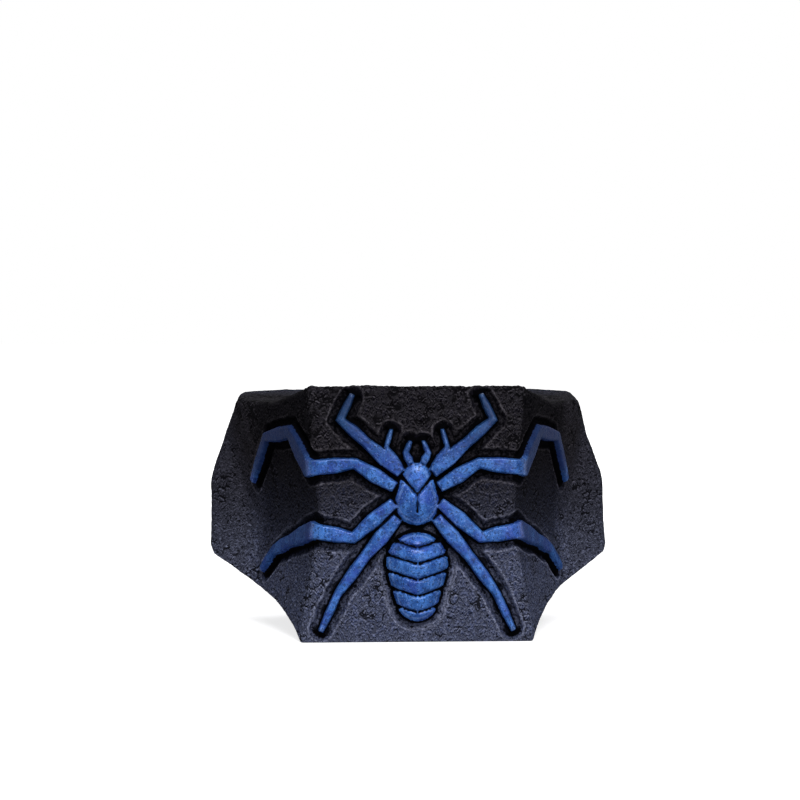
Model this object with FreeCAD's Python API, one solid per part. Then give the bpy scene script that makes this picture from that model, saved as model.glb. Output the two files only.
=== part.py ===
import FreeCAD, Part
import math
import os

from FreeCAD import Matrix, Placement, Rotation, Vector

# Front panel: an hourglass outline on a face that leans back
foot_half = 26.0
waist_half = 21.0
brow_half = 24.2
waist_height = 27.0
brow_height = 57.3
panel_foot_y = -3.0
panel_brow_y = 0.0

# Side facets run back from the panel to a fold with each wing
fold_half = 35.2
fold_y = 27.5
fold_height = 23.0
low_fold_half = 35.6
low_fold_y = 24.3
low_fold_height = 15.5

# Wings: their outer facets lean back and turn a little outward
wing_half = 47.0
wing_root_half = 38.0
wing_lean = 0.45
wing_turn = 0.40
shoulder_height = 34.0
shoulder_top_half = 40.5
shoulder_top_rise = 0.5

# Back wall, with draft down to the foot and a facet at each side
back_y = 48.0
back_draft = 2.5
back_panel_half = 30.0
back_corner_step = 5.0

# Undercut that narrows the body below the wings to its foot
foot_rear_half = 24.0
hollow_half = 27.6
hollow_height = 5.2
flare_half = 34.5
flare_height = 9.6
wing_low_half = 45.5
wing_low_height = 16.5
wing_corner_height = 19.5

# Dished seat on top, flat in its middle, with a low rim behind
seat_front_y = 19.0
seat_rear_y = 32.0
seat_height = 52.5
seat_back_rise = 2.0

# The panel's upright edges are rounded, the rim and the wings' edges are broken
edge_round = 1.5
edge_break = 0.9

# Carving: raised bands with a groove along each side
relief_height = 1.6
bevel = 0.45
groove_depth = 0.8
groove_width = 1.2
band_root = 1.0
carve_reach = 2.0
joint_share = 0.72

# Spider's body parts: a lower and an upper ball, each with its height, radius and how deep it is sunk
abdomen_lower = (9.4, 5.8, 2.9)
abdomen_upper = (17.6, 8.8, 4.9)
head_lower = (31.0, 6.4, 3.5)
head_upper = (36.6, 4.9, 3.0)

# Legs as places across a facet and up the part; two pairs cross the panel's edge at a height
leg_thick = 1.9
leg_thin = 1.1
side_thick = 2.4
side_thin = 1.5
front_leg = [(3.4, 37.6), (11.2, 44.4), (17.0, 49.6), (14.2, 55.4)]
second_leg = [(4.8, 34.4), (13.8, 39.8)]
second_crossing = 39.0
second_side = [(11.5, 46.4), (24.0, 44.6), (33.0, 33.5)]
third_leg = [(5.0, 31.2), (14.2, 23.4)]
third_crossing = 24.6
third_side = [(12.5, 21.4), (20.0, 18.6), (25.2, 13.4)]
hind_leg = [(4.2, 27.8), (11.6, 19.2), (17.6, 11.0), (21.6, 2.4)]
past_edge = 2.6
overrun = 1.4

# Feelers and fangs at the head
feeler_thick = 1.0
feeler_thin = 0.8
feeler = [(3.4, 38.8), (6.8, 43.4), (5.6, 47.6)]
fang_thick = 1.15
fang_thin = 0.8
fang = [(1.3, 39.6), (2.5, 42.2), (1.3, 45.0)]

# Marks cut into the abdomen and the head part
mark_width = 0.9
mark_depth = 0.6
mark_rise = 2.6
mark_heights = [6.8, 10.4, 14.0, 17.6, 21.2]
head_mark = [(0.0, 28.6), (0.0, 33.0)]
head_mark_branch = [(0.0, 33.0), (3.6, 37.0)]

# How near a point has to be to a plane to lie on it
on_plane = 1e-4


def mirrored(point):
    return Vector(-point.x, point.y, point.z)


def panel_y(height):
    lean = (panel_brow_y - panel_foot_y) / brow_height
    return panel_foot_y + lean * height


foot_corner = Vector(foot_half, panel_foot_y, 0)
waist_corner = Vector(waist_half, panel_y(waist_height), waist_height)
brow_corner = Vector(brow_half, panel_brow_y, brow_height)
fold_point = Vector(fold_half, fold_y, fold_height)
low_fold_point = Vector(low_fold_half, low_fold_y, low_fold_height)
heart = Vector(0, fold_y, waist_height)
reach = 4 * wing_half

panel_plane = [mirrored(foot_corner), foot_corner, brow_corner]
upper_side = [waist_corner, brow_corner, fold_point]
lower_side = [waist_corner, foot_corner, low_fold_point]
shoulder = [
    Vector(wing_half, 0, shoulder_height),
    Vector(wing_half, back_y, shoulder_height),
    Vector(shoulder_top_half, 0, seat_height + shoulder_top_rise),
]
back_wall = [
    Vector(0, back_y, brow_height),
    Vector(1, back_y, brow_height),
    Vector(0, back_y - back_draft, 0),
]
back_side = [
    Vector(back_panel_half, back_y, 0),
    Vector(wing_half, back_y - back_corner_step, 0),
    Vector(back_panel_half, back_y, brow_height),
]


def outward_normal(plane):
    a, b, c = plane
    normal = (b - a).cross(c - a)
    normal.normalize()
    if normal.dot(a - heart) < 0:
        normal = -normal
    return normal


def half_space(point, normal):
    """Everything on the side of the plane through a point that the normal points to."""
    space = Part.makeBox(2 * reach, 2 * reach, reach, Vector(-reach, -reach, 0))
    space.Placement = Placement(point, Rotation(Vector(0, 0, 1), normal))
    return space


def beyond(plane, grow=0.0):
    """Everything outside the plane through three points, which is moved out by grow."""
    normal = outward_normal(plane)
    return half_space(plane[0] + normal * grow, normal)


def cut_both_sides(solid, plane, grow=0.0):
    solid = solid.cut(beyond(plane, grow))
    return solid.cut(beyond([mirrored(point) for point in plane], grow))


def raw_block(front_y):
    size = Vector(2 * wing_half, back_y - front_y, brow_height + edge_round)
    return Part.makeBox(size.x, size.y, size.z, Vector(-wing_half, front_y, 0))


def lies_on(edge, plane, grow):
    normal = outward_normal(plane)
    start = plane[0] + normal * grow
    return all(abs(normal.dot(vertex.Point - start)) < on_plane for vertex in edge.Vertexes)


def wedge(side, grow):
    """Convex block behind the panel and one pair of side facets, its front edges rounded."""
    block = raw_block(panel_foot_y - grow - carve_reach)
    block = block.cut(beyond(panel_plane, grow))
    block = cut_both_sides(block, side, grow)
    pair = [side, [mirrored(point) for point in side]]
    front_edges = [
        edge
        for edge in block.Edges
        if lies_on(edge, panel_plane, grow) and any(lies_on(edge, plane, grow) for plane in pair)
    ]
    return block.makeFillet(edge_round + grow, front_edges)


def front_block(grow=0.0):
    return wedge(upper_side, grow).fuse(wedge(lower_side, grow)).removeSplitter()


def wings():
    outer_facet = [
        fold_point,
        fold_point + Vector(0, wing_lean, 1),
        fold_point + Vector(1, wing_turn, 0),
    ]
    return cut_both_sides(raw_block(panel_foot_y), outer_facet)


def undercut():
    """What is hollowed out below the right wing, a profile that runs along the foot's edge."""
    foot = Vector(foot_rear_half, back_y, 0)
    hollow = Vector(hollow_half, back_y, hollow_height)
    flare = Vector(flare_half, back_y, flare_height)
    wing_low = Vector(wing_low_half, back_y, wing_low_height)
    wing_corner = Vector(wing_half, back_y, wing_corner_height)
    far_high = Vector(2 * wing_half, back_y, wing_corner_height)
    far_low = Vector(2 * wing_half, back_y, 0)
    edges = [
        Part.Arc(foot, hollow, flare).toShape(),
        Part.makeLine(flare, wing_low),
        Part.makeLine(wing_low, wing_corner),
        Part.makeLine(wing_corner, far_high),
        Part.makeLine(far_high, far_low),
        Part.makeLine(far_low, foot),
    ]
    tool = Part.Face(Part.Wire(edges)).extrude(Vector(0, -reach, 0))
    tool.translate(Vector(0, back_y, 0))
    splay = math.degrees(math.atan2(foot_half - foot_rear_half, back_y - panel_foot_y))
    return tool.rotate(foot, Vector(0, 0, 1), splay)


def seat_profile():
    """The seat's section from the panel's brow back to the rear rim."""
    return [
        Vector(0, panel_brow_y, brow_height),
        Vector(0, seat_front_y, seat_height),
        Vector(0, seat_rear_y, seat_height),
        Vector(0, back_y, seat_height + seat_back_rise),
    ]


def seat_dish():
    """What is cut away above the seat."""
    profile = seat_profile()
    before = profile[0] + (profile[0] - profile[1])
    after = profile[-1] + (profile[-1] - profile[-2])
    top = [Vector(0, after.y, reach), Vector(0, before.y, reach)]
    dish = polygon_face([before] + profile[1:-1] + [after] + top).extrude(Vector(2 * reach, 0, 0))
    dish.translate(Vector(-reach, 0, 0))
    return dish


def on_seat(point):
    profile = seat_profile()
    for start, end in zip(profile, profile[1:]):
        run = end - start
        normal = Vector(0, -run.z, run.y)
        normal.normalize()
        flat = Vector(0, point.y, point.z)
        over_it = start.y - edge_break < point.y < end.y + edge_break
        if over_it and abs(normal.dot(flat - start)) < on_plane:
            return True
    return False


def rim_edges(body):
    """Edges around the dished seat, without the creases across it."""
    return [
        edge
        for edge in body.Edges
        if all(on_seat(vertex.Point) for vertex in edge.Vertexes)
        and not (
            abs(edge.CenterOfMass.x) < on_plane
            and panel_brow_y + 2 * edge_break < edge.CenterOfMass.y < seat_rear_y + 2 * edge_break
        )
    ]


def wing_edges(body):
    """Outward edges of the wings above their corners, without the folds at the side facets."""
    sides = [upper_side, lower_side, back_wall]
    sides = sides + [[mirrored(point) for point in plane] for plane in sides]
    return [
        edge
        for edge in body.Edges
        if abs(edge.CenterOfMass.x) > wing_root_half
        and edge.CenterOfMass.z > fold_height
        and not any(lies_on(edge, plane, 0) for plane in sides)
    ]


def block_body():
    body = front_block().fuse(wings())
    body = body.cut(seat_dish())
    right = undercut()
    body = body.cut([right, mirror_image(right)])
    body = body.cut(beyond(back_wall))
    body = cut_both_sides(body, shoulder)
    body = cut_both_sides(body, back_side).removeSplitter()
    edges = {edge.hashCode(): edge for edge in rim_edges(body) + wing_edges(body)}
    return body.makeChamfer(edge_break, list(edges.values()))


def mirror_image(shape):
    return shape.mirror(Vector(0, 0, 0), Vector(1, 0, 0))


def facet_frame(origin, plane):
    """Frame on a facet: x runs level along it, y up it and z out of it."""
    out = outward_normal(plane)
    level = Vector(0, 0, 1).cross(out)
    level.normalize()
    up = out.cross(level)
    frame = Matrix(
        level.x, up.x, out.x, origin.x,
        level.y, up.y, out.y, origin.y,
        level.z, up.z, out.z, origin.z,
        0, 0, 0, 1,
    )
    return Placement(frame)


panel_frame = facet_frame(Vector(0, panel_foot_y, 0), panel_plane)
upper_frame = facet_frame(waist_corner, upper_side)
lower_frame = facet_frame(waist_corner, lower_side)


def at(frame, run, height):
    """Point in the facet's own frame, from its run along the facet and its height in the part."""
    up = frame.Rotation.multVec(Vector(0, 1, 0))
    return Vector(run, (height - frame.Base.z) / up.z, 0)


def edge_point(height):
    """Point on the panel's right edge."""
    if height > waist_height:
        share = (height - waist_height) / (brow_height - waist_height)
        return waist_corner + (brow_corner - waist_corner) * share
    return foot_corner + (waist_corner - foot_corner) * (height / waist_height)


def outline(spine, shrink=0.0):
    """Corners of a band along a spine of (point, half width), less shrink on each side."""
    left = []
    right = []
    count = len(spine)
    for index, (point, half) in enumerate(spine):
        before = spine[max(index - 1, 0)][0]
        after = spine[min(index + 1, count - 1)][0]
        run_in = point - before if index > 0 else after - point
        run_out = after - point if index < count - 1 else point - before
        run_in.normalize()
        run_out.normalize()
        middle = run_in + run_out
        middle.normalize()
        side = Vector(-middle.y, middle.x, 0) * ((half - shrink) / middle.dot(run_in))
        left.append(point + side)
        right.append(point - side)
    return left + right[::-1]


def inset(corners, distance):
    """Outline whose edges lie a distance inside those of a clockwise outline."""
    moved = []
    for index, corner in enumerate(corners):
        run_in = corner - corners[index - 1]
        run_out = corners[(index + 1) % len(corners)] - corner
        run_in.normalize()
        run_out.normalize()
        middle = run_in + run_out
        middle.normalize()
        moved.append(corner + Vector(middle.y, -middle.x, 0) * (distance / middle.dot(run_in)))
    return moved


def polygon_face(corners):
    return Part.Face(Part.makePolygon(corners + corners[:1]))


def bar(frame, spine, widen=0.0, slope=0.0, root=carve_reach, reach_out=carve_reach):
    """Bar along a spine, standing through the facet, its sides leaning in by slope."""
    middle = outline(spine, -widen)
    low, high = [
        [corner + Vector(0, 0, height) for corner in inset(middle, slope * height)]
        for height in (-root, reach_out)
    ]
    sides = [
        polygon_face([low[index - 1], low[index], high[index], high[index - 1]])
        for index in range(len(middle))
    ]
    shell = Part.makeShell([polygon_face(low), polygon_face(high)] + sides)
    solid = Part.makeSolid(shell)
    solid.Placement = frame
    return solid


def jointed(points, thick, thin):
    """Spine of a leg: swollen between its joints, narrow at them, from thick down to thin."""
    spine = [(points[0], thick * joint_share)]
    steps = len(points) - 1
    for index in range(steps):
        start = points[index]
        end = points[index + 1]
        girth = thick + (thin - thick) * index / max(steps - 1, 1)
        spine.append(((start + end) * 0.5, girth))
        spine.append((end, girth * joint_share))
    return spine


def panel_leg(places, thick, thin):
    return [(panel_frame, jointed([at(panel_frame, *place) for place in places], thick, thin), None)]


def in_facet(frame, vector):
    """A direction in the part as it lies in a facet's own frame, one long."""
    local = frame.Rotation.inverted().multVec(vector)
    local.z = 0
    local.normalize()
    return local


def wrapped_leg(places, crossing_height, side_frame, side_places):
    """Leg that runs to the panel's right edge, goes straight on over it and then along a side facet.

    Its two bands are mitred where they meet, so each comes with what to cut off it.
    """
    crossing = edge_point(crossing_height)
    edge_run = edge_point(crossing_height + 1) - crossing
    on_panel = panel_frame.inverse().multVec(crossing)
    on_side = side_frame.inverse().multVec(crossing)
    front = [at(panel_frame, *place) for place in places] + [Vector(on_panel.x, on_panel.y, 0)]
    run = front[-1] - front[-2]
    run.normalize()
    panel_edge = in_facet(panel_frame, edge_run)
    side_edge = in_facet(side_frame, edge_run)
    across = run.dot(Vector(panel_edge.y, -panel_edge.x, 0))
    run_on = side_edge * run.dot(panel_edge) + Vector(side_edge.y, -side_edge.x, 0) * across
    front_spine = jointed(front, leg_thick, leg_thick)
    front_spine[-1] = (front[-1], leg_thick)
    front_spine.append((front[-1] + run * overrun, leg_thick))
    start = Vector(on_side.x, on_side.y, 0)
    bend = start + run_on * past_edge
    side = [bend] + [at(side_frame, *place) for place in side_places]
    side_spine = [(start - run_on * overrun, leg_thick), (start, leg_thick), (bend, side_thick)]
    side_spine += jointed(side, side_thick, side_thin)[1:]
    out = Vector(0, 0, 1)
    past_mitre = side_frame.Rotation.multVec(out) - panel_frame.Rotation.multVec(out)
    return [
        (panel_frame, front_spine, half_space(crossing, past_mitre)),
        (side_frame, side_spine, half_space(crossing, -past_mitre)),
    ]


def right_bands():
    """Raised bands on the right half: each a facet's frame, a spine on it and what to cut off."""
    bands = panel_leg(front_leg, leg_thick, leg_thin)
    bands += wrapped_leg(second_leg, second_crossing, upper_frame, second_side)
    bands += wrapped_leg(third_leg, third_crossing, lower_frame, third_side)
    bands += panel_leg(hind_leg, leg_thick, leg_thin)
    bands += panel_leg(feeler, feeler_thick, feeler_thin)
    bands += panel_leg(fang, fang_thick, fang_thin)
    return bands


def egg(lower, upper, widen=0.0):
    """Two balls and the cone that joins them, each sunk below the panel's surface."""
    low, low_radius, low_sink = lower
    high, high_radius, high_sink = upper
    low_radius += widen
    high_radius += widen
    low_centre = Vector(0, 0, 0)
    axis = Vector(0, high - low, low_sink - high_sink)
    high_centre = Vector(0, axis.Length, 0)
    tilt = math.asin((low_radius - high_radius) / axis.Length)
    outward = Vector(math.cos(tilt), math.sin(tilt), 0)
    low_end = low_centre - Vector(0, low_radius, 0)
    high_end = high_centre + Vector(0, high_radius, 0)
    low_tangent = low_centre + outward * low_radius
    high_tangent = high_centre + outward * high_radius
    slant = math.sqrt(0.5)
    low_between = low_centre + Vector(slant, -slant, 0) * low_radius
    high_between = high_centre + Vector(slant, slant, 0) * high_radius
    edges = [
        Part.Arc(low_end, low_between, low_tangent).toShape(),
        Part.makeLine(low_tangent, high_tangent),
        Part.Arc(high_tangent, high_between, high_end).toShape(),
        Part.makeLine(high_end, low_end),
    ]
    solid = Part.Face(Part.Wire(edges)).revolve(Vector(0, 0, 0), Vector(0, 1, 0), 360)
    place = at(panel_frame, 0, low) - Vector(0, 0, low_sink)
    solid.Placement = panel_frame * Placement(place, Rotation(Vector(0, 1, 0), axis))
    return solid


def abdomen(widen=0.0):
    return egg(abdomen_lower, abdomen_upper, widen)


def head(widen=0.0):
    return egg(head_lower, head_upper, widen)


def mark_bar(start, end):
    spine = [(at(panel_frame, *place), mark_width / 2) for place in (start, end)]
    return bar(panel_frame, spine, reach_out=abdomen_upper[1])


def marks():
    """Chevrons that are cut into the abdomen, and a forked line into the head part."""
    bars = [mark_bar(*head_mark)]
    for side in (-1, 1):
        bars += [mark_bar(*[(side * across, height) for across, height in head_mark_branch])]
        for height in mark_heights:
            bars.append(mark_bar((0, height), (side * abdomen_upper[1], height + mark_rise)))
    tool = bars[0].fuse(bars[1:])
    return tool.cut([abdomen(-mark_depth), head(-mark_depth)])


def raised_band(frame, spine, cut_off, outer):
    band = bar(frame, spine, slope=bevel / relief_height, root=band_root).common(outer)
    return band.cut(cut_off) if cut_off else band


def carved_body():
    right = right_bands()
    inner = front_block(-groove_depth)
    outer = front_block(relief_height)
    troughs = [bar(frame, spine, groove_width) for frame, spine, _ in right]
    troughs = troughs + [mirror_image(trough) for trough in troughs]
    troughs += [abdomen(groove_width), head(groove_width)]
    body = block_body()
    for trough in troughs:
        body = body.cut(trough.cut(inner))
    bands = [raised_band(*band, outer) for band in right]
    raised = bands + [mirror_image(band) for band in bands]
    cuts = marks()
    raised += [abdomen().cut(cuts), head().cut(cuts)]
    return body.fuse(raised).removeSplitter()


def on_its_footprint(shape):
    """The shape moved so that its origin is at the bottom of its box, in the middle."""
    box = shape.optimalBoundingBox()
    moved = shape.copy()
    moved.translate(Vector(-box.Center.x, -box.Center.y, -box.ZMin))
    return moved


def save(name, shape):
    os.makedirs("parts", exist_ok=True)
    shape.exportStep(os.path.join("parts", name + ".step"))


body = on_its_footprint(carved_body())
print("valid", body.isValid(), "solids", len(body.Solids), "volume", round(body.Volume))
save("stand", body)
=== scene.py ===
import math
from collections import namedtuple

import bpy
import numpy as np
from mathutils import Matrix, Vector, kdtree, noise


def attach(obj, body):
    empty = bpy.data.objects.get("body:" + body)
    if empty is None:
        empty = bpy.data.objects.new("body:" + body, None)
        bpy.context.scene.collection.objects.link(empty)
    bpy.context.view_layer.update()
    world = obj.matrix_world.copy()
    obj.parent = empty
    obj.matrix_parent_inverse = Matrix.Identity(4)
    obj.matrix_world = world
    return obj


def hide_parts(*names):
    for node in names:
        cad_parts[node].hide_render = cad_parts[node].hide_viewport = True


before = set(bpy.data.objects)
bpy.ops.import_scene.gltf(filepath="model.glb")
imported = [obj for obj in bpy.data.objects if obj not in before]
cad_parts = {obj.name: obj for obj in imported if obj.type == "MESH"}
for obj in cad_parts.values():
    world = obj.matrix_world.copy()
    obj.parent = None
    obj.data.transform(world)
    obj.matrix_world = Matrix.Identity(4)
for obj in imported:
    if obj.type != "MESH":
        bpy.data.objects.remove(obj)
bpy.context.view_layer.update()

MM = 0.001
TINY = 1e-9

# Camera: the photograph's view of the carved panel
VIEW_AZIMUTH = math.radians(-2.82)
VIEW_ELEVATION = math.radians(2.67)
VIEW_DISTANCE = 500 * MM
AIM_ACROSS = -3.7 * MM
AIM_HEIGHT = 53.9 * MM
LENS = 101.0
SENSOR = 36.0
CLIP_START = 10 * MM

# Lights as name, place, size and watts, the point that they face, in metres, and the world's even light
LIGHTS = [
    ("key", (0.06, -0.70, 0.78), 0.45, 8.0),
    ("fill", (0.30, -0.90, 0.15), 0.5, 1.8),
    ("back", (0.1, 0.7, 0.65), 0.5, 4.0),
]
LIGHT_AIM = (0, 0, 0.03)
WORLD_LIGHT = 0.20

# Floor: half its side and its glow by the distance from the stand, in metres, and its glow in reflections
FLOOR_HALF = 3.0
FLOOR_ROUGHNESS = 0.9
FLOOR_GLOW = (0.08, 0.40, 0.76, 0.95)
FLOOR_REFLECTED = 0.15

# Front facets: the panel's normal turns across the least, a wing's more and a side facet's the most. The area
# is in square mm, how level one is in mm, and the last two are cosines between normals
FORWARD_TURN = 0.3
PANEL_TURN = 0.1
SIDE_TURN = 0.6
LEAST_AREA = 150
LEVEL = 0.05
SAME_FACET = 0.9995
LIKE_FACET = 0.999

# Depths in mm behind the panel where its edges and the wings' folds lie, and what is lost behind the folds
PANEL_EDGE = (0.4, 2.0)
WING_FOLD = (24.0, 28.0)
LOST_BEHIND_FOLD = 0.6

# Even mesh, and the triangles that stay: a share of them on the plain parts, which start at this Y in mm
VOXEL = 0.27 * MM
WELD = VOXEL / 100
MOST_TRIANGLES = 196000
PLAIN_FROM = 8.0
PLAIN_SHARE = 0.22

# Relief in mm: its least height over the block, its end along Y, and the distance that is clear of it,
# where every point counts as well below
RELIEF_HEIGHT = 0.6
RELIEF_END = 20
CLEAR_OF_RELIEF = 6
WELL_BELOW = 100

# Softening as strength and steps, the relief's and the rock's, which starts between two distances in mm
RELIEF_SOFTENING = (0.4, 1)
ROCK_SOFTENING = 0.5
ROCK_STEPS = 8
SOFT_ROCK = (1.6, 3.0)

# Forms of the rock: depth in mm, size of the largest lumps in mm, octaves and seed
Form = namedtuple("Form", "depth size octaves seed")
HEWN = Form(0.22, 9.0, 2, 1)
LUMPS = Form(0.05, 2.4, 3, 2)
CREASES = Form(0.10, 1.5, 2, 3)
PITS = Form(0.25, 1.1, 2, 4)
RIPPLES = Form(0.03, 1.0, 2, 5)
WANDER = Form(0.35, 5.0, 2, 6)
SEED_SHIFT = (17.3, 31.7, 7.9)
SMOOTHNESS = 0.9
OCTAVE_STEP = 2.1

# Where the forms start: distance from the relief and height over the foot in mm, and the noise in a pit
ROCK_START = (0.7, 2.0)
FOOT_EDGE = (0.2, 1.4)
PIT_START = (0.46, 0.66)
CREASE_WIDTH = 0.25

# Creases are deeper, by this in mm, high up and near the front
DEEPER_CREASES = 0.22
HIGH_UP = (30, 46)
NEAR_FRONT = (12, 16)

# Bank beside the carving's grooves and the fine ridge along its top, by distance from the relief in mm
BANK_START = 1.4
BANK_SLOPE = 0.2
BANK_DEPTH = 0.22
RIDGE_AT = 2.35
RIDGE_WIDTH = 0.24
RIDGE_RISE = 0.16

# Hollows of two sizes, for the material: name, and strength and steps of the softening that finds them
CAVITIES = [("cavity_fine", 0.5, 6), ("cavity_broad", 0.6, 60)]


def link(obj):
    bpy.context.scene.collection.objects.link(obj)
    return obj


def smoothstep(values, low, high):
    share = np.clip((values - low) / (high - low), 0, 1)
    return share * share * (3 - 2 * share)


def mesh_arrays(mesh):
    """The mesh's vertices in mm, its edges and its vertex normals."""
    points = np.empty(len(mesh.vertices) * 3)
    mesh.vertices.foreach_get("co", points)
    edges = np.empty(len(mesh.edges) * 2, int)
    mesh.edges.foreach_get("vertices", edges)
    normals = np.empty(len(mesh.vertices) * 3)
    mesh.vertices.foreach_get("normal", normals)
    return points.reshape(-1, 3) / MM, edges.reshape(-1, 2), normals.reshape(-1, 3)


def set_points(mesh, points):
    """Moves the mesh's vertices to places given in mm, none of them below the foot."""
    points[:, 2] = np.maximum(points[:, 2], 0)
    mesh.vertices.foreach_set("co", (points * MM).astype(np.float32).ravel())
    mesh.update()


def front_facets(mesh):
    """The large facets that face forward, as pairs of outward normal and offset, right half only."""
    points, _, _ = mesh_arrays(mesh)
    mesh.calc_loop_triangles()
    corners = np.empty(len(mesh.loop_triangles) * 3, int)
    mesh.loop_triangles.foreach_get("vertices", corners)
    triangles = points[corners.reshape(-1, 3)]
    cross = np.cross(triangles[:, 1] - triangles[:, 0], triangles[:, 2] - triangles[:, 0])
    area = np.linalg.norm(cross, axis=1) / 2
    normals = cross / np.maximum(2 * area, TINY)[:, None]
    waiting = (normals[:, 1] < -FORWARD_TURN) & (normals[:, 0] > -PANEL_TURN)
    groups = []
    while waiting.any():
        first = np.argmax(np.where(waiting, area, 0))
        normal = normals[first]
        offset = triangles[first, 0] @ normal
        level = np.abs(triangles @ normal - offset).max(1) < LEVEL
        group = waiting & level & (normals @ normal > SAME_FACET)
        group[first] = True
        waiting &= ~group
        groups.append((area[group].sum(), normal, offset))
    facets = []
    for size, normal, offset in sorted(groups, key=lambda group: -group[0]):
        if size > LEAST_AREA and not any(normal @ other > LIKE_FACET for other, _ in facets):
            facets.append((normal, offset))
    return facets


def panel_of(facets):
    return next(facet for facet in facets if abs(facet[0][0]) < PANEL_TURN)


def height_over_block(points, facets):
    """How far each point stands above the uncarved block, in mm, from the block's front facets."""
    right = points.copy()
    right[:, 0] = np.abs(right[:, 0])
    panel_normal, panel_offset = panel_of(facets)
    over_panel = right @ panel_normal - panel_offset
    heights = []
    for normal, offset in facets:
        if normal[0] > SIDE_TURN:
            heights.append(np.maximum(over_panel, right @ normal - offset))
        elif normal[0] > PANEL_TURN:
            heights.append(right @ normal - offset)
    return np.min(heights, axis=0)


def on_side_facets(points, facets):
    """0 on the panel, 1 on the side facets up to the wings' folds, and 0.4 behind the folds."""
    normal, offset = panel_of(facets)
    behind = offset - points @ normal
    return smoothstep(behind, *PANEL_EDGE) * (1 - LOST_BEHIND_FOLD * smoothstep(behind, *WING_FOLD))


def softened(points, edges, strength, steps):
    """The points after each moved towards the mean of its neighbours, a few times over."""
    count = len(points)
    ends = np.concatenate([edges[:, 0], edges[:, 1]])
    others = np.concatenate([edges[:, 1], edges[:, 0]])
    neighbours = np.maximum(np.bincount(ends, minlength=count), 1)[:, None]
    values = points.reshape(count, -1).copy()
    for _ in range(steps):
        total = np.stack([np.bincount(ends, column[others], count) for column in values.T], 1)
        values += (total / neighbours - values) * strength
    return values.reshape(points.shape)


def distance_to(points, targets):
    tree = kdtree.KDTree(len(targets))
    for index, target in enumerate(targets):
        tree.insert(target, index)
    tree.balance()
    return np.array([tree.find(point)[2] for point in points])


def fractal(points, form):
    """Layered noise from about -1 to 1, whose largest lumps have the form's size."""
    shift = Vector([form.seed * part for part in SEED_SHIFT])
    places = (Vector(point) / form.size + shift for point in points)
    return np.array([noise.fractal(place, SMOOTHNESS, OCTAVE_STEP, form.octaves) for place in places])


def bake_modifiers(obj):
    graph = bpy.context.evaluated_depsgraph_get()
    mesh = bpy.data.meshes.new_from_object(obj.evaluated_get(graph))
    obj.modifiers.clear()
    obj.data = mesh


def store(mesh, name, values):
    attribute = mesh.attributes.new(name, "FLOAT", "POINT")
    attribute.data.foreach_set("value", values.astype(np.float32))


def triangle_count(mesh):
    return sum(len(polygon.vertices) - 2 for polygon in mesh.polygons)


def thin(obj, ratio, group=""):
    """Fewer triangles, only among the named group's vertices if there is one."""
    modifier = obj.modifiers.new("thin", "DECIMATE")
    modifier.ratio = min(1.0, ratio)
    modifier.vertex_group = group
    bake_modifiers(obj)


def even_copy(solid):
    """A copy of the solid's surface as an even mesh."""
    casting = link(bpy.data.objects.new("stand_casting", solid.data.copy()))
    casting.modifiers.new("weld", "WELD").merge_threshold = WELD
    remesh = casting.modifiers.new("remesh", "REMESH")
    remesh.mode = "VOXEL"
    remesh.voxel_size = VOXEL
    bake_modifiers(casting)
    return casting


def soften_edges(mesh, facets):
    """Softens the edges, the rock's the most, and gives each point's distance from the relief in mm."""
    points, edges, _ = mesh_arrays(mesh)
    on_relief = (height_over_block(points, facets) > RELIEF_HEIGHT) & (points[:, 1] < RELIEF_END)
    near = distance_to(points, points[on_relief])
    points = softened(points, edges, *RELIEF_SOFTENING)
    strength = ROCK_SOFTENING * smoothstep(near, *SOFT_ROCK)[:, None]
    set_points(mesh, softened(points, edges, strength, ROCK_STEPS))
    return near


def carve_rock(mesh, near):
    """Carves the rock's forms and the bank, and gives the distances from the relief, made to wander."""
    points, _, normals = mesh_arrays(mesh)
    rock = smoothstep(near, *ROCK_START)
    above_foot = smoothstep(points[:, 2], *FOOT_EDGE)
    high_in_front = smoothstep(points[:, 2], *HIGH_UP) * smoothstep(-points[:, 1], *NEAR_FRONT)
    hewn = HEWN.depth * fractal(points, HEWN)
    lumps = LUMPS.depth * fractal(points, LUMPS)
    crease_depth = CREASES.depth + DEEPER_CREASES * high_in_front
    creases = crease_depth * (np.abs(fractal(points, CREASES)) - CREASE_WIDTH)
    pits = -PITS.depth * smoothstep(fractal(points, PITS), *PIT_START)
    ripples = RIPPLES.depth * (1 - rock) * fractal(points, RIPPLES)
    wander = near + WANDER.depth * fractal(points, WANDER)
    bank = -BANK_DEPTH * smoothstep(near, BANK_START - BANK_SLOPE, BANK_START)
    bank = bank * (1 - smoothstep(wander, BANK_START, RIDGE_AT))
    ridge = RIDGE_RISE * np.exp(-(((wander - RIDGE_AT) / RIDGE_WIDTH) ** 2))
    rise = rock * (hewn + lumps + creases + pits) + bank + ridge + ripples
    set_points(mesh, points + normals * (rise * above_foot)[:, None])
    return wander


def store_fields(mesh, facets, near, wander):
    """Stores what the material reads at each point: how hollow it is, and where it lies."""
    points, edges, normals = mesh_arrays(mesh)
    for name, strength, steps in CAVITIES:
        inward = softened(points, edges, strength, steps) - points
        store(mesh, name, (inward * normals).sum(1))
    store(mesh, "relief", height_over_block(points, facets) - WELL_BELOW * (near > CLEAR_OF_RELIEF))
    store(mesh, "near_relief", near)
    store(mesh, "side", on_side_facets(points, facets))
    store(mesh, "wander", wander)


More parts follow.
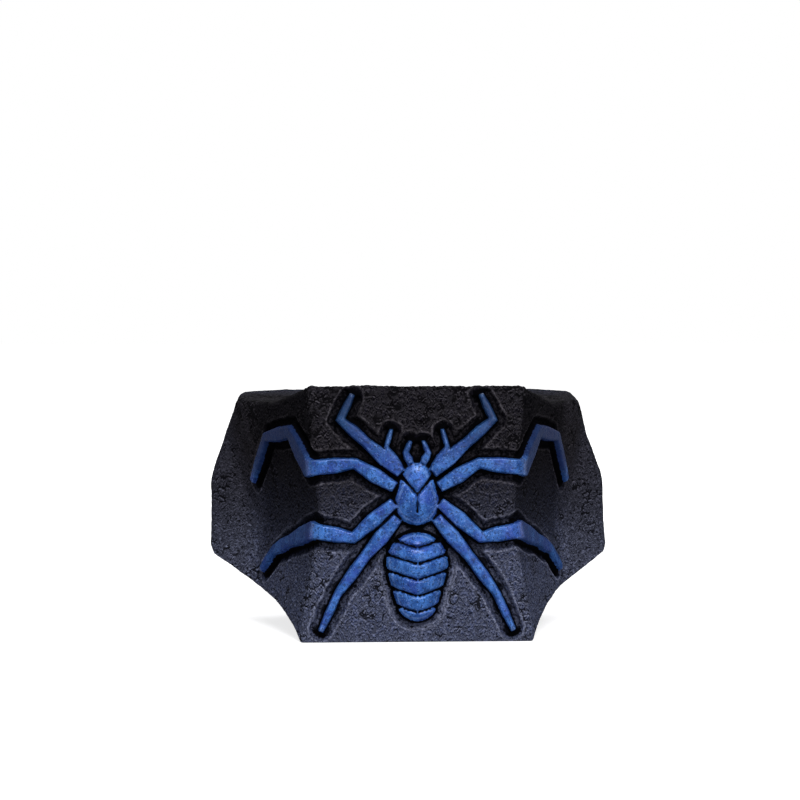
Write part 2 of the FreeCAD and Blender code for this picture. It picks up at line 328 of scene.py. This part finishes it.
def thin_casting(casting):
    """Fewer triangles, on the plain sides and back first and then all over."""
    points, _, _ = mesh_arrays(casting.data)
    plain = np.nonzero(points[:, 1] > PLAIN_FROM)[0]
    casting.vertex_groups.new(name="plain").add(plain.tolist(), 1.0, "REPLACE")
    plain_triangles = 2 * len(plain)
    thin(casting, 1 - (1 - PLAIN_SHARE) * plain_triangles / triangle_count(casting.data), "plain")
    thin(casting, MOST_TRIANGLES / triangle_count(casting.data))


def stand_casting(solid, facets):
    """The whole casting: the solid's surface with softened edges, hewn rock and a crisp relief."""
    casting = even_copy(solid)
    near = soften_edges(casting.data, facets)
    wander = carve_rock(casting.data, near)
    store_fields(casting.data, facets, near, wander)
    thin_casting(casting)
    casting.data.shade_smooth()
    return casting


class Graph:
    """Short calls for building the nodes of a material or a world."""

    def __init__(self, owner):
        owner.use_nodes = True
        self.nodes = owner.node_tree.nodes
        self.links = owner.node_tree.links

    def add(self, kind, inputs=None, **settings):
        made = self.nodes.new("ShaderNode" + kind)
        for name, value in settings.items():
            setattr(made, name, value)
        self.feed(made, inputs or {})
        return made

    def feed(self, node, inputs):
        """Links each input to a socket, or sets it to a value."""
        for name, value in inputs.items():
            if isinstance(value, bpy.types.NodeSocket):
                self.links.new(value, node.inputs[name])
            else:
                node.inputs[name].default_value = value

    def math(self, operation, first, second=0.0):
        return self.add("Math", {0: first, 1: second}, operation=operation).outputs[0]

    def plus(self, first, second):
        return self.math("ADD", first, second)

    def minus(self, first, second):
        return self.math("SUBTRACT", first, second)

    def times(self, first, *others):
        for other in others:
            first = self.math("MULTIPLY", first, other)
        return first

    def most(self, first, *others):
        for other in others:
            first = self.math("MAXIMUM", first, other)
        return first

    def rest(self, share):
        return self.minus(1.0, share)

    def span(self, share, start, end):
        """A value that goes evenly from start to end."""
        return self.plus(self.times(share, end - start), start)

    def step(self, value, low, high, start=0.0, end=1.0):
        """A value that goes softly from start to end, as the first one goes from low to high."""
        inputs = {"Value": value, "From Min": low, "From Max": high, "To Min": start, "To Max": end}
        return self.add("MapRange", inputs, interpolation_type="SMOOTHSTEP").outputs[0]

    def line(self, field, level, width):
        """1 where the field is at the level, and 0 from width away."""
        away = self.math("ABSOLUTE", self.minus(field, level))
        return self.step(away, LINE_CORE * width, width, 1.0, 0.0)

    def moved(self, place, shift):
        return self.add("VectorMath", {0: place, 1: shift}, operation="ADD").outputs[0]

    def scaled(self, vector, factor):
        return self.add("VectorMath", {0: vector, 3: factor}, operation="SCALE").outputs[0]

    def noise(self, place, scale, detail, roughness, distortion=0.0):
        inputs = {"Vector": place, "Scale": scale, "Detail": detail, "Roughness": roughness}
        inputs["Distortion"] = distortion
        return self.add("TexNoise", inputs)

    def grains(self, place, *settings):
        return self.noise(place, *settings).outputs["Fac"]

    def patches(self, place, kind):
        """0 where the kind's noise is low and 1 where it is high."""
        field = self.grains(place, kind.scale, kind.detail, kind.roughness, kind.distortion)
        return self.step(field, kind.low, kind.high)

    def voronoi(self, place, scale, feature="F1"):
        inputs = {"Vector": place, "Scale": scale}
        return self.add("TexVoronoi", inputs, feature=feature).outputs["Distance"]

    def mix(self, share, first, second):
        """A colour that goes from the first to the second."""
        return self.add("Mix", {0: share, 6: first, 7: second}, data_type="RGBA").outputs[2]

    def blend(self, share, first, second):
        """A value that goes from the first to the second."""
        return self.add("Mix", {0: share, 2: first, 3: second}).outputs[0]

    def attribute(self, name):
        return self.add("Attribute", attribute_name=name).outputs["Fac"]


def colour(red, green, blue):
    return (red, green, blue, 1.0)


WHITE = colour(1, 1, 1)
FLOOR_GREY = colour(0.64, 0.64, 0.66)
# A black wash, which in hollows and grooves also stands in for their shade
BLACK_WASH_AND_PAINTED_SHADE = colour(0.0012, 0.0012, 0.0018)
# The rock's and dust's colours from top to foot: the dark top is partly painted shadow from above, and the
# light bluish low part is partly painted reflection of the white floor
ROCK_TOP_AND_PAINTED_SHADOW = colour(0.0060, 0.0055, 0.0092)
ROCK_MIDDLE = colour(0.020, 0.023, 0.043)
ROCK_LOW_AND_PAINTED_REFLECTION = colour(0.054, 0.067, 0.132)
ROCK_WING = colour(0.024, 0.023, 0.031)
DUST_TOP_AND_PAINTED_SHADOW = colour(0.084, 0.078, 0.092)
DUST_LOW_AND_PAINTED_REFLECTION = colour(0.260, 0.285, 0.420)
BLUE_DEEP = colour(0.003, 0.014, 0.062)
# The paint at the top is darker as painted shadow from above
BLUE_TOP_AND_PAINTED_SHADOW = colour(0.006, 0.022, 0.058)
# The paint on the side facets turns to a dark navy there as painted shade
BLUE_SIDE_PAINTED_SHADE = colour(0.012, 0.019, 0.062)
BLUE = colour(0.011, 0.062, 0.260)
BLUE_BRIGHT = colour(0.052, 0.180, 0.550)
BLUE_VIOLET = colour(0.024, 0.048, 0.320)
# A painted sheen, the colour of the paint's painted highlights
BLUE_PAINTED_SHEEN = colour(0.17, 0.31, 0.70)

# Patches of noise: marks per mm, detail, roughness, and the values where they start and are full
Patches = namedtuple("Patches", "scale detail roughness low high distortion", defaults=[0.0])
GRAIN = Patches(1.9, 2.0, 0.7, 0.36, 0.66)
SPECKLE = Patches(2.8, 1.0, 0.55, 0.60, 0.72)
MOTTLE = Patches(0.30, 3.0, 0.6, 0.35, 0.65)
CRACKED = Patches(0.20, 2.0, 0.55, 0.52, 0.58)
WORMED = Patches(0.28, 2.0, 0.55, 0.48, 0.58)
WORN = Patches(0.45, 4.0, 0.70, 0.38, 0.62)
VIOLET = Patches(0.16, 3.0, 0.6, 0.44, 0.64)
# Light flecks on the paint stand in for glints, as painted highlights
PAINTED_GLINT_FLECKS = Patches(2.3, 1.0, 0.55, 0.60, 0.70)
SPECKS = Patches(1.8, 2.0, 0.7, 0.53, 0.61)
STREAKS = Patches(0.9, 3.0, 0.6, 0.56, 0.72, 1.0)

# Lines: the share of their width that is full
LINE_CORE = 0.4

# Worm marks: their noise, marks per mm and line width of each kind, and the fine ones' strength
WORM_NOISE = (2.0, 0.5, 0.9)
NOISE_MIDDLE = 0.5
COARSE_WORMS = (0.62, 0.130)
FINE_WORMS = (1.25, 0.085)
FINE_WORM_SHARE = 0.60
VEINS = (0.34, 0.022)

# Cracks: the noise that bends them and by how much, cells per mm, their width by the distance from a cell's
# middle, and their soft edge
CRACK_BEND_NOISE = (0.9, 2.0, 0.5)
CRACK_BEND = 1.6
CRACK_SCALE = 0.55
CRACK_WIDTH = (0.40, 0.66, 0.020, 0.075)
CRACK_EDGE = 0.025

# A mark's light edge lies this far below it, in mm, as a painted highlight on the side that light from above
# would catch
PAINTED_HIGHLIGHT_DROP = 0.34

# Changes with the height: two heights in mm, and the values there where they aren't 0 and 1
# These heights also place the painted shadow at the top and the painted floor reflection low down
ROCK_TO_MIDDLE = (14.0, 30.0)
ROCK_TO_TOP = (26.0, 44.0)
DUST_TO_TOP = (12.0, 40.0)
WORMS_BY_HEIGHT = (32.0, 42.0, 0.15, 1.0)
VEINS_BY_HEIGHT = (20.0, 34.0, 0.50, 0.0)
FOOT_RUB = (3.5, 0.6, 0.0, 0.35)
# Painted shade on the side facets, of the rock and of the paint, stronger high up
ROCK_SIDE_PAINTED_SHADE = (8.0, 26.0, 0.22, 0.60)
PAINT_SIDE_PAINTED_SHADE = (12.0, 30.0, 0.45, 0.85)
# Painted shadow from above darkens the paint at the top and takes its highlights away
PAINT_TOP_PAINTED_SHADOW = (34.0, 54.0, 0.0, 0.9)

# Shade of the rock by its grain and its mottle
GRAIN_SHADE = (0.25, 1.75)
MOTTLE_SHADE = (0.85, 1.15)

# Dust on the rock: on crests, on the bank's ridge, on the panel's edges and on speckles, and a painted
# highlight beside cut marks
CREST = (-0.015, -0.060)
CREST_DUST = 0.45
RIDGE_LINE = 0.32
RIDGE_DUST = 0.95
GRAIN_IN_DUST = (0.0, 0.60, 0.40, 1.0)
EDGE_START = (0.01, 0.10)
EDGE_END = (0.60, 0.20, 0.0, 0.50)
MARK_PAINTED_HIGHLIGHT = 0.80
SPECKLE_DUST = 0.35

# Paint: its violet share, the painted sheen of its flecks and edges, the heights of the rims, where painted
# highlights lie, and its dark marks
VIOLET_SHARE = 0.55
FLECK_PAINTED_SHEEN = 0.50
EDGE_PAINTED_SHEEN = 0.60
PAINT_EDGE = (-0.064, -0.104)
RIM_START = (1.00, 1.20)
RIM_END = (1.56, 1.46)
WORN_RIM = (0.0, 1.0, 0.35, 0.9)
DARK_SHARE = 0.75


def worm_marks(graph, place, scale, width):
    """Thin wandering marks, 1 in the mark and 0 beside it."""
    return graph.line(graph.grains(place, scale, *WORM_NOISE), NOISE_MIDDLE, width)


def crack_marks(graph, place):
    """Branching cracks, widest where they meet."""
    bend = graph.noise(place, *CRACK_BEND_NOISE).outputs["Color"]
    bent = graph.moved(place, graph.scaled(bend, CRACK_BEND))
    from_edge = graph.voronoi(bent, CRACK_SCALE, "DISTANCE_TO_EDGE")
    width = graph.step(graph.voronoi(bent, CRACK_SCALE), *CRACK_WIDTH)
    return graph.step(from_edge, width, graph.plus(width, CRACK_EDGE), 1.0, 0.0)


def cut_marks(graph, place, cracked, wormed):
    """Marks cut into the rock: cracks and coarse worm marks in patches, and fine worm marks all over."""
    cracks = graph.times(crack_marks(graph, place), cracked)
    coarse = graph.times(worm_marks(graph, place, *COARSE_WORMS), wormed)
    fine = graph.times(worm_marks(graph, place, *FINE_WORMS), FINE_WORM_SHARE)
    return graph.most(cracks, coarse, fine)


def rock_colour(graph, place, height, on_wing, side, fine, wander, away):
    """The rock's colour with its grains, cracks, worm marks and dust, painted shade and floor reflection, and
    painted highlights below its marks, and how deep its marks are cut.
    """
    grain = graph.patches(place, GRAIN)
    cracked = graph.patches(place, CRACKED)
    wormed = graph.times(graph.patches(place, WORMED), graph.step(height, *WORMS_BY_HEIGHT))
    # A copy of the cut marks moved down gives their light edge, a painted highlight as if lit from above
    above = graph.moved(place, (0.0, 0.0, PAINTED_HIGHLIGHT_DROP))
    cut = graph.times(cut_marks(graph, place, cracked, wormed), away)
    light = graph.times(cut_marks(graph, above, cracked, wormed), away)

    # Darker towards the top, partly as painted shadow, and lighter and bluer low down, partly as painted
    # floor reflection
    base = graph.mix(graph.step(height, *ROCK_TO_MIDDLE), ROCK_LOW_AND_PAINTED_REFLECTION, ROCK_MIDDLE)
    base = graph.mix(graph.step(height, *ROCK_TO_TOP), base, ROCK_TOP_AND_PAINTED_SHADOW)
    base = graph.mix(on_wing, base, ROCK_WING)
    # Painted shade: the side facets' rock and dust are darker, more so high up
    left_by_painted_shade = graph.rest(graph.times(side, graph.step(height, *ROCK_SIDE_PAINTED_SHADE)))
    grain_shade = graph.span(grain, *GRAIN_SHADE)
    mottle_shade = graph.span(graph.patches(place, MOTTLE), *MOTTLE_SHADE)
    base = graph.scaled(base, graph.times(grain_shade, left_by_painted_shade, mottle_shade))

    crests = graph.times(graph.step(fine, *CREST), CREST_DUST)
    ridge = graph.times(graph.line(wander, RIDGE_AT, RIDGE_LINE), RIDGE_DUST)
    crests = graph.times(graph.most(crests, ridge), graph.step(grain, *GRAIN_IN_DUST))
    veins = graph.times(worm_marks(graph, place, *VEINS), graph.step(height, *VEINS_BY_HEIGHT))
    at_foot = graph.step(height, *FOOT_RUB)
    on_edge = graph.times(graph.step(side, *EDGE_START), graph.step(side, *EDGE_END))
    rubbed = graph.times(graph.most(at_foot, on_edge), grain)
    # The light edge below each cut mark is a painted highlight
    marks = graph.times(light, MARK_PAINTED_HIGHLIGHT)
    specks = graph.times(graph.patches(place, SPECKLE), SPECKLE_DUST)
    dusted = graph.times(graph.most(crests, veins, rubbed, marks, specks), left_by_painted_shade)
    # Dust is darker at the top, partly as painted shadow, and lighter and bluer low down, partly as painted
    # floor reflection
    dust = graph.mix(graph.step(height, *DUST_TO_TOP), DUST_LOW_AND_PAINTED_REFLECTION, DUST_TOP_AND_PAINTED_SHADOW)
    return graph.mix(dusted, base, dust), cut


def paint_colour(graph, place, height, on_body, side, fine, relief):
    """Pearl-blue paint with dark specks, darker at the top and on the side facets as painted shade, and with
    light flecks, rims and edges as painted highlights.
    """
    worn = graph.patches(place, WORN)
    # Painted shadow: the paint turns darker towards the top, where its painted highlights fade
    top_painted_shadow = graph.step(height, *PAINT_TOP_PAINTED_SHADOW)
    blue = graph.mix(worn, BLUE, BLUE_BRIGHT)
    blue = graph.mix(graph.times(graph.patches(place, VIOLET), VIOLET_SHARE), blue, BLUE_VIOLET)
    blue = graph.mix(top_painted_shadow, blue, BLUE_TOP_AND_PAINTED_SHADOW)

    # Painted highlights: light rims on the body, light edges and glinting flecks
    rims = graph.times(graph.step(relief, *RIM_START), graph.step(relief, *RIM_END))
    rims = graph.times(rims, on_body, graph.step(worn, *WORN_RIM))
    edges = graph.times(graph.most(graph.step(fine, *PAINT_EDGE), rims), EDGE_PAINTED_SHEEN)
    flecks = graph.times(graph.patches(place, PAINTED_GLINT_FLECKS), FLECK_PAINTED_SHEEN)
    painted_shine = graph.times(graph.most(flecks, edges), graph.rest(top_painted_shadow))
    blue = graph.mix(painted_shine, blue, BLUE_PAINTED_SHEEN)

    # Painted shade: the paint on the side facets turns darker navy, more so high up
    blue = graph.mix(graph.times(side, graph.step(height, *PAINT_SIDE_PAINTED_SHADE)), blue, BLUE_SIDE_PAINTED_SHADE)
    dark = graph.most(graph.patches(place, SPECKS), graph.patches(place, STREAKS))
    return graph.mix(graph.times(dark, DARK_SHARE), blue, BLUE_DEEP)


# Towards the back the height counts as nearer to one value, so that the painted shade and reflection that
# change with the height are weaker there
BACK_START = (6.0, 24.0, 0.0, 0.75)
BACK_HEIGHT = 24.0

# Places across the stand: the wings' colour starts at their folds, and the rims lie on the spider's body
WING_START = (34.0, 40.0, 0.0, 0.7)
BODY_END = (9.0, 12.0, 1.0, 0.0)

# Paint starts on the relief's flanks, on a line that a noise makes ragged
RAGGED_NOISE = (1.6, 4.0, 0.55)
RAGGED = 0.4
PAINT_START = (0.50, 0.66)

# Dark wash, partly painted shade: in the rock's hollows, in the groove beside the relief and on the bank's
# slope
BROAD_WASH = (0.34, 0.85)
FINE_WASH = (0.045, 0.13)
WASH_SHARE = 0.95
GROOVE = (1.35, 1.75, 1.0, 0.0)
SLOPE = (RIDGE_AT - 0.5, RIDGE_AT - 0.1, 0.50, 0.0)

# Carving on the painted relief, by its hollows, washed black as partly painted shade
BROAD_CARVING = (0.05, 0.22)
FINE_CARVING = (0.025, 0.075)

# Rock's cracks and worm marks start at this distance from the relief, in mm
MARKS_START = (1.8, 2.5)

# Gloss: the paint's satin, mostly lost on the side facets, and the roughness and bump of rock and paint
SATIN_LOST_ASIDE = 0.9
SATIN_METAL = 0.25
SATIN_COAT = 0.32
COAT_ROUGHNESS = 0.22
REFRACTION = 1.12
SPECULAR = 0.1
RESIN_NOISE = (2.5, 2.0, 0.7)
RESIN_ROUGHNESS = (0.72, 0.92)
PAINT_SMOOTHNESS = 0.52
ROCK_BUMP = (0.4, 2.0, 0.10, 0.42)
CUT_BUMP = 0.35
PAINT_NOISE = (2.4, 2.0, 0.7)
PAINT_BUMP = 0.16


def painted_resin():
    """Charcoal rock with a dark wash that is partly painted shade, dry-brushed dust, painted shadow,
    reflection and highlights, and pearl-blue paint with painted highlights on the relief.
    """
    material = bpy.data.materials.new("painted_cast_resin")
    graph = Graph(material)
    place = graph.scaled(graph.add("TexCoord").outputs["Object"], 1 / MM)
    apart = graph.add("SeparateXYZ", {0: place}).outputs
    height = graph.blend(graph.step(apart["Y"], *BACK_START), apart["Z"], BACK_HEIGHT)
    across = graph.math("ABSOLUTE", apart["X"])
    fine = graph.attribute("cavity_fine")
    broad = graph.attribute("cavity_broad")
    relief = graph.attribute("relief")
    wander = graph.attribute("wander")
    side = graph.attribute("side")
    ragged = graph.span(graph.grains(place, *RAGGED_NOISE), -RAGGED, RAGGED)
    near = graph.plus(graph.attribute("near_relief"), ragged)
    paint = graph.step(graph.plus(relief, ragged), *PAINT_START)

    on_wing = graph.step(across, *WING_START)
    away = graph.step(near, *MARKS_START)
    rock, cut = rock_colour(graph, place, height, on_wing, side, fine, wander, away)
    # Black wash in the hollows, cut marks and groove, partly painted shade
    wash = graph.most(graph.step(broad, *BROAD_WASH), graph.step(fine, *FINE_WASH), cut)
    groove = graph.most(graph.step(near, *GROOVE), graph.step(wander, *SLOPE))
    groove = graph.times(groove, graph.rest(paint))
    rock = graph.mix(graph.most(graph.times(wash, WASH_SHARE), groove), rock, BLACK_WASH_AND_PAINTED_SHADE)

    on_body = graph.step(across, *BODY_END)
    blue = paint_colour(graph, place, height, on_body, side, fine, relief)
    carved = graph.most(graph.step(broad, *BROAD_CARVING), graph.step(fine, *FINE_CARVING))
    blue = graph.mix(carved, blue, BLACK_WASH_AND_PAINTED_SHADE)
    not_aside = graph.rest(graph.times(side, SATIN_LOST_ASIDE))
    satin = graph.times(paint, not_aside, graph.rest(carved))

    grain = graph.grains(place, *RESIN_NOISE)
    rough = graph.minus(graph.span(grain, *RESIN_ROUGHNESS), graph.times(paint, PAINT_SMOOTHNESS))
    rock_bump = graph.minus(graph.times(grain, graph.step(near, *ROCK_BUMP)), graph.times(cut, CUT_BUMP))
    paint_bump = graph.times(graph.grains(place, *PAINT_NOISE), PAINT_BUMP)
    bump_height = graph.blend(paint, rock_bump, paint_bump)
    bump = graph.add("Bump", {"Height": bump_height, "Distance": MM, "Strength": 1.0})

    looks = {
        "Base Color": graph.mix(paint, rock, blue),
        "Metallic": graph.times(satin, SATIN_METAL),
        "Roughness": rough,
        "Coat Weight": graph.times(satin, SATIN_COAT),
        "Coat Roughness": COAT_ROUGHNESS,
        "IOR": REFRACTION,
        "Specular IOR Level": SPECULAR,
        "Normal": bump.outputs[0],
    }
    graph.feed(graph.nodes["Principled BSDF"], looks)
    return material


def make_floor():
    """A plain white floor that shows white to the camera and keeps the stand's shadow."""
    mesh = bpy.data.meshes.new("floor")
    ends = (-FLOOR_HALF, FLOOR_HALF)
    mesh.from_pydata([(x, y, 0) for x in ends for y in ends], [], [(0, 2, 3, 1)])
    floor = link(bpy.data.objects.new("floor", mesh))
    material = bpy.data.materials.new("floor_white")
    graph = Graph(material)
    shader = graph.nodes["Principled BSDF"]
    looks = {"Base Color": FLOOR_GREY, "Roughness": FLOOR_ROUGHNESS, "Specular IOR Level": 0.0}
    graph.feed(shader, looks)
    place = graph.add("TexCoord").outputs["Object"]
    distance = graph.add("VectorMath", {0: place}, operation="LENGTH").outputs["Value"]
    path = graph.add("LightPath").outputs
    seen = graph.times(path["Is Camera Ray"], graph.step(distance, *FLOOR_GLOW))
    reflected = graph.most(path["Is Glossy Ray"], path["Is Transmission Ray"])
    strength = graph.most(seen, graph.times(reflected, FLOOR_REFLECTED))
    glow = graph.add("Emission", {"Color": WHITE, "Strength": strength})
    both = graph.add("AddShader", {0: shader.outputs[0], 1: glow.outputs[0]})
    graph.feed(graph.nodes["Material Output"], {"Surface": both.outputs[0]})
    mesh.materials.append(material)


def make_world():
    """White to the camera and in reflections, and a plain even light on everything else."""
    world = bpy.data.worlds.new("studio")
    bpy.context.scene.world = world
    graph = Graph(world)
    path = graph.add("LightPath").outputs
    seen = graph.most(path["Is Camera Ray"], path["Is Glossy Ray"], path["Is Transmission Ray"])
    strength = graph.span(seen, WORLD_LIGHT, 1.0)
    graph.feed(graph.nodes["Background"], {"Color": WHITE, "Strength": strength})


def make_softbox(name, place, size, watts):
    light = bpy.data.lights.new(name, "AREA")
    light.size = size
    light.energy = watts
    obj = link(bpy.data.objects.new(name, light))
    obj.location = place
    obj.rotation_euler = (Vector(LIGHT_AIM) - Vector(place)).to_track_quat("-Z", "Y").to_euler()


def make_camera(facets):
    """The photograph's camera, aimed at a point on the panel's plane."""
    normal, offset = panel_of(facets)
    panel_y = (offset * MM - normal[2] * AIM_HEIGHT) / normal[1]
    aim = Vector((AIM_ACROSS, panel_y, AIM_HEIGHT))
    level = math.cos(VIEW_ELEVATION)
    across = math.sin(VIEW_AZIMUTH) * level
    forward = -math.cos(VIEW_AZIMUTH) * level
    back = Vector((across, forward, math.sin(VIEW_ELEVATION)))
    camera = bpy.data.cameras.new("camera")
    camera.lens = LENS
    camera.sensor_width = SENSOR
    camera.clip_start = CLIP_START
    obj = link(bpy.data.objects.new("camera", camera))
    obj.location = aim + back * VIEW_DISTANCE
    obj.rotation_euler = (-back).to_track_quat("-Z", "Y").to_euler()
    bpy.context.scene.camera = obj


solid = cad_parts["stand"]
facets = front_facets(solid.data)
make_camera(facets)

casting = stand_casting(solid, facets)
casting.data.materials.clear()
casting.data.materials.append(painted_resin())
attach(casting, "root")
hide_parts("stand")

make_floor()
make_world()
for name, place, size, watts in LIGHTS:
    make_softbox(name, place, size, watts)

bpy.context.scene.view_settings.view_transform = "Standard"
